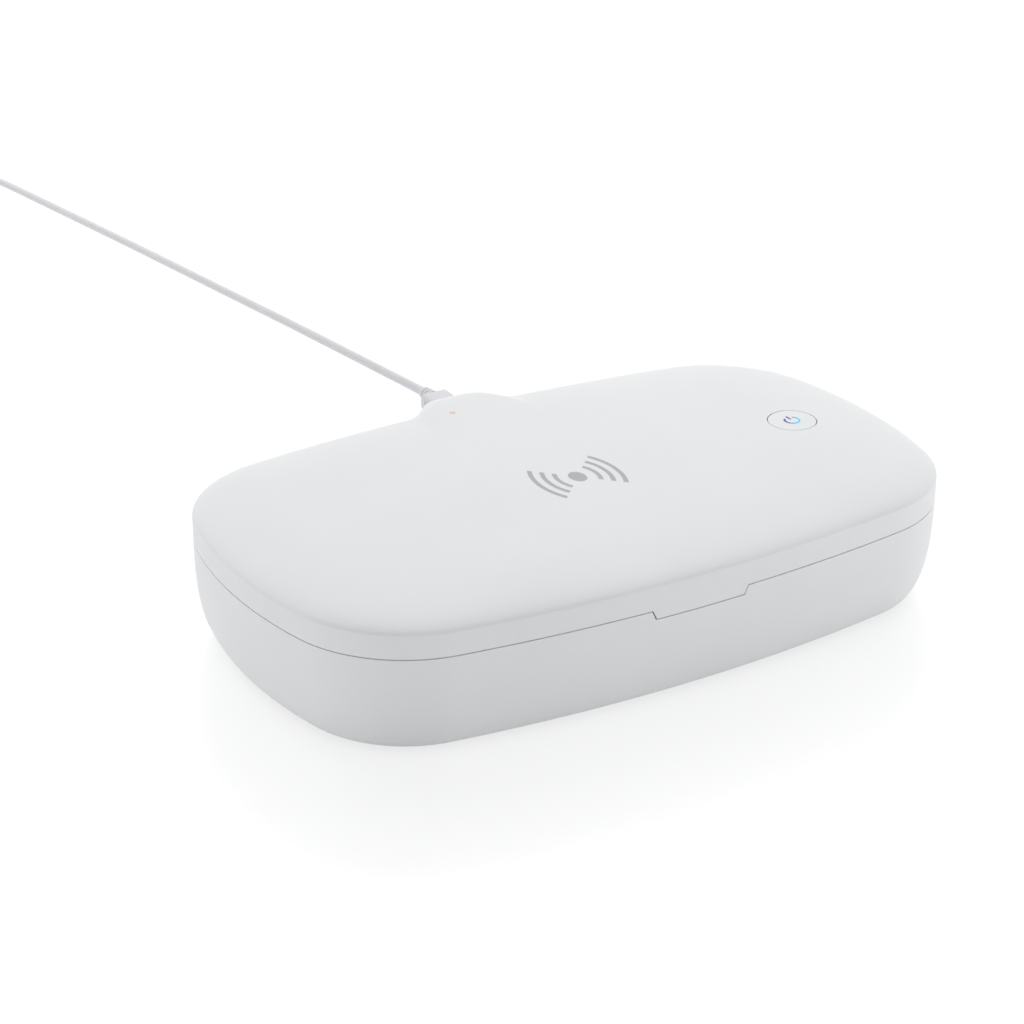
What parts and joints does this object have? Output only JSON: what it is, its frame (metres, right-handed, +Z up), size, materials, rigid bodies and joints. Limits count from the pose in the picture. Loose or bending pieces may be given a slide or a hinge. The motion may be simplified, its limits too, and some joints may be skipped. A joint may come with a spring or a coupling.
{
  "type": "uv sanitizer box for phones",
  "caption": "White clamshell light-sanitising box for a phone: hinged lid with a charging spot and a lit power button, fed by a USB lead at the back.",
  "frame": {"origin": "on the surface the feet stand on, under the middle of the box with its rear housing", "axes": "+X to the right along the box's length, +Y to the hinge and the lead, +Z up"},
  "size_m": [0.215, 0.5661, 0.041],
  "materials": {
    "shell_white": "satin moulded",
    "tray_silver": "vacuum-metallised",
    "panel_silver": "satin metallised",
    "foot_rubber": "matte",
    "screw_steel": "zinc plated",
    "magnet_nickel": "nickel plated",
    "pad_clear": "soft clear",
    "mark_grey": "printed",
    "button_white": "satin moulded",
    "symbol_lit": "translucent, lit",
    "window_quartz": "polished",
    "lamp_ceramic": "ceramic package",
    "board_green": "solder mask",
    "chip_black": "moulded epoxy",
    "coil_copper": "enamelled copper",
    "ferrite_grey": "sintered",
    "usb_metal": "stamped",
    "led_package": "epoxy",
    "lens_amber": "translucent",
    "plunger_nylon": "nylon",
    "cord_white": "satin jacket",
    "plug_white": "overmoulded",
    "tie_dark": "silicone strap"
  },
  "bodies": {
    "base": {"base_shell": "shell_white", "base_liner": "tray_silver", "foot_fl": "foot_rubber", "foot_fr": "foot_rubber", "foot_bl": "foot_rubber", "foot_br": "foot_rubber", "base_screw_fl": "screw_steel", "base_screw_fr": "screw_steel", "base_screw_bl": "screw_steel", "base_screw_br": "screw_steel", "base_magnet_l": "magnet_nickel", "base_magnet_r": "magnet_nickel", "sensor_magnet": "magnet_nickel", "rest_pad_l": "pad_clear", "rest_pad_r": "pad_clear", "hinge_pin": "screw_steel", "cord_stretch": "cord_white", "cord_coil": "cord_white", "cord_tail": "cord_white", "coil_tie": "tie_dark", "usb_a_body": "plug_white", "usb_a_shell": "usb_metal"},
    "lid": {"lid_shell": "shell_white", "charge_mark": "mark_grey", "lid_liner": "panel_silver", "lid_screw_fl": "screw_steel", "lid_screw_fr": "screw_steel", "lid_screw_bl": "screw_steel", "lid_screw_br": "screw_steel", "uv_window_fl": "window_quartz", "uv_window_fr": "window_quartz", "uv_window_bl": "window_quartz", "uv_window_br": "window_quartz", "uv_lamp_fl": "lamp_ceramic", "uv_lamp_fr": "lamp_ceramic", "uv_lamp_bl": "lamp_ceramic", "uv_lamp_br": "lamp_ceramic", "main_board": "board_green", "board_screw_fl": "screw_steel", "board_screw_fr": "screw_steel", "board_screw_bl": "screw_steel", "board_screw_br": "screw_steel", "controller_chip": "chip_black", "power_inductor": "chip_black", "charging_coil": "coil_copper", "ferrite_sheet": "ferrite_grey", "lid_magnet_l": "magnet_nickel", "lid_magnet_r": "magnet_nickel", "lid_sensor": "chip_black", "usb_receptacle": "usb_metal", "indicator_led": "led_package", "indicator_lens": "lens_amber", "tact_switch": "chip_black", "plug_body": "plug_white", "plug_shell": "usb_metal"},
    "button": {"power_button": "button_white", "button_symbol": "symbol_lit"},
    "plunger": {"switch_plunger": "plunger_nylon"}
  },
  "joints": [
    {"name": "lid_hinge", "type": "hinge", "parent": "base", "child": "lid", "pos_m": [0, 0.0653, 0.02645], "axis": [-1, 0, 0], "range_deg": [0, 90], "deforming": ["cord_stretch"]},
    {"name": "button_press", "type": "slide", "parent": "lid", "child": "button", "axis": [0, 0, -1], "range_m": [0, 0.0006], "stiffness_N_per_m": 2500, "springref_m": -0.0002},
    {"name": "switch_travel", "type": "slide", "parent": "lid", "child": "plunger", "axis": [0, 0, -1], "range_m": [0, 0.0006]}
  ],
  "couplings": [
    {"joint": "switch_travel", "follows": "button_press", "ratio": 1}
  ]
}
